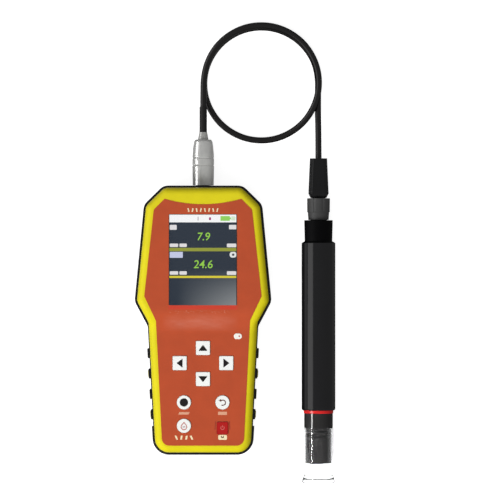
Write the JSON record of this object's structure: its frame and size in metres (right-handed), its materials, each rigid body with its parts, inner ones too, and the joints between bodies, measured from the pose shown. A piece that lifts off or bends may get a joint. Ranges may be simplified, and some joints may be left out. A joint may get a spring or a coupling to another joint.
{
  "type": "handheld water quality meter with cabled probe",
  "caption": "Handheld water quality meter with a colour display and keypad, and a cabled optical probe with a clear storage cup.",
  "frame": {"origin": "on the back face of the meter, at the middle of the case's width and length", "axes": "+Z out of the display, +Y from the keypad to the cable socket, +X to the right of the display"},
  "size_m": [0.1753, 0.4038, 0.0403],
  "materials": {
    "yellow_shell": "fine-textured moulded polycarbonate",
    "black_shell": "fine-textured moulded polycarbonate",
    "black_rubber": "matt overmoulded elastomer",
    "yellow_pad": "matt elastomer",
    "orange_panel": "fine-grained polyester membrane",
    "clear_window": "polished",
    "display": "smooth",
    "foam": "closed-cell foam",
    "carrier": "moulded",
    "white_key": "satin moulded",
    "red_key": "satin moulded",
    "white_lens": "polished, milky",
    "red_lamp": "moulded epoxy",
    "board": "solder mask",
    "switch": "moulded, with a steel face",
    "steel": "zinc-plated",
    "cell": "printed foil",
    "socket_metal": "satin nickel plate",
    "sleeve_metal": "satin chrome plate",
    "contact": "gold plate",
    "plug_core": "moulded",
    "grey_cone": "satin moulded",
    "shrink_sleeve": "satin polyolefin",
    "cable_jacket": "satin polyurethane jacket",
    "boot": "matt moulded elastomer",
    "grey_nut": "fine-textured moulded",
    "collar": "satin moulded",
    "probe_tube": "satin acetal",
    "red_ring": "smooth",
    "sensor_body": "smooth",
    "clear_cup": "polished, clear",
    "seal": "smooth",
    "optic": "polished",
    "thermometer": "fine-ground",
    "reference": "porous"
  },
  "bodies": {
    "meter": {"front_case": "yellow_shell", "rear_case": "black_shell", "case_gasket": "seal", "rubber_bumper": "black_rubber", "grip_inserts": "yellow_pad", "face_overlay": "orange_panel", "display_window": "clear_window", "display_gasket": "foam", "display_module": "display", "display_bracket": "carrier", "key_switches": "switch", "status_light": "white_lens", "status_lamp": "red_lamp", "main_board": "board", "case_screws": "steel", "battery_cells": "cell", "battery_tray": "carrier", "battery_contacts": "steel", "battery_door": "black_shell", "door_seal": "seal", "door_screws": "steel", "panel_socket": "socket_metal", "socket_contacts": "contact", "socket_nut": "socket_metal"},
    "cable_plug": {"plug_core": "plug_core", "plug_cone": "grey_cone", "heat_shrink": "shrink_sleeve", "cable": "cable_jacket", "cable_boot": "boot", "probe_plug_core": "plug_core"},
    "release_sleeve": {"release_sleeve": "sleeve_metal"},
    "coupling_nut": {"coupling_nut": "grey_nut"},
    "probe": {"probe_top_cap": "collar", "probe_contacts": "contact", "tube_seals": "seal", "probe_tube": "probe_tube", "probe_board": "board", "sensor_head": "sensor_body", "cup_seals": "seal", "red_ring": "red_ring", "optical_window": "optic", "temperature_button": "thermometer", "reference_junction": "reference"},
    "storage_cup": {"storage_cup": "clear_cup"},
    "key_up": {"key_up": "white_key"},
    "key_down": {"key_down": "white_key"},
    "key_left": {"key_left": "white_key"},
    "key_right": {"key_right": "white_key"},
    "key_enter": {"key_enter": "white_key"},
    "key_return": {"key_return": "white_key"},
    "key_backlight": {"key_backlight": "white_key"},
    "key_power": {"key_power": "red_key"}
  },
  "joints": [
    {"name": "key_up_press", "type": "slide", "parent": "meter", "child": "key_up", "axis": [0, 0, -1], "range_m": [0, 0.0006], "stiffness_N_per_m": 1000, "springref_m": -0.0005},
    {"name": "key_down_press", "type": "slide", "parent": "meter", "child": "key_down", "axis": [0, 0, -1], "range_m": [0, 0.0006], "stiffness_N_per_m": 1000, "springref_m": -0.0005},
    {"name": "key_left_press", "type": "slide", "parent": "meter", "child": "key_left", "axis": [0, 0, -1], "range_m": [0, 0.0006], "stiffness_N_per_m": 1000, "springref_m": -0.0005},
    {"name": "key_right_press", "type": "slide", "parent": "meter", "child": "key_right", "axis": [0, 0, -1], "range_m": [0, 0.0006], "stiffness_N_per_m": 1000, "springref_m": -0.0005},
    {"name": "key_enter_press", "type": "slide", "parent": "meter", "child": "key_enter", "axis": [0, 0, -1], "range_m": [0, 0.0006], "stiffness_N_per_m": 1000, "springref_m": -0.0005},
    {"name": "key_return_press", "type": "slide", "parent": "meter", "child": "key_return", "axis": [0, 0, -1], "range_m": [0, 0.0006], "stiffness_N_per_m": 1000, "springref_m": -0.0005},
    {"name": "key_backlight_press", "type": "slide", "parent": "meter", "child": "key_backlight", "axis": [0, 0, -1], "range_m": [0, 0.0006], "stiffness_N_per_m": 1000, "springref_m": -0.0005},
    {"name": "key_power_press", "type": "slide", "parent": "meter", "child": "key_power", "axis": [0, 0, -1], "range_m": [0, 0.0006], "stiffness_N_per_m": 1000, "springref_m": -0.0005},
    {"name": "plug_pull", "type": "slide", "parent": "meter", "child": "cable_plug", "axis": [0, 1, 0], "range_m": [0, 0.014]},
    {"name": "sleeve_draw", "type": "slide", "parent": "cable_plug", "child": "release_sleeve", "axis": [0, 1, 0], "range_m": [0, 0.002], "stiffness_N_per_m": 1500, "springref_m": -0.001},
    {"name": "nut_turn", "type": "hinge", "parent": "cable_plug", "child": "coupling_nut", "pos_m": [0.101, 0.097, 0.01475], "axis": [0, 1, 0], "range_deg": [0, 60]},
    {"name": "probe_pull", "type": "slide", "parent": "cable_plug", "child": "probe", "axis": [0, -1, 0], "range_m": [0, 0.014]},
    {"name": "cup_pull", "type": "slide", "parent": "probe", "child": "storage_cup", "axis": [0, -1, 0], "range_m": [0, 0.05]}
  ]
}
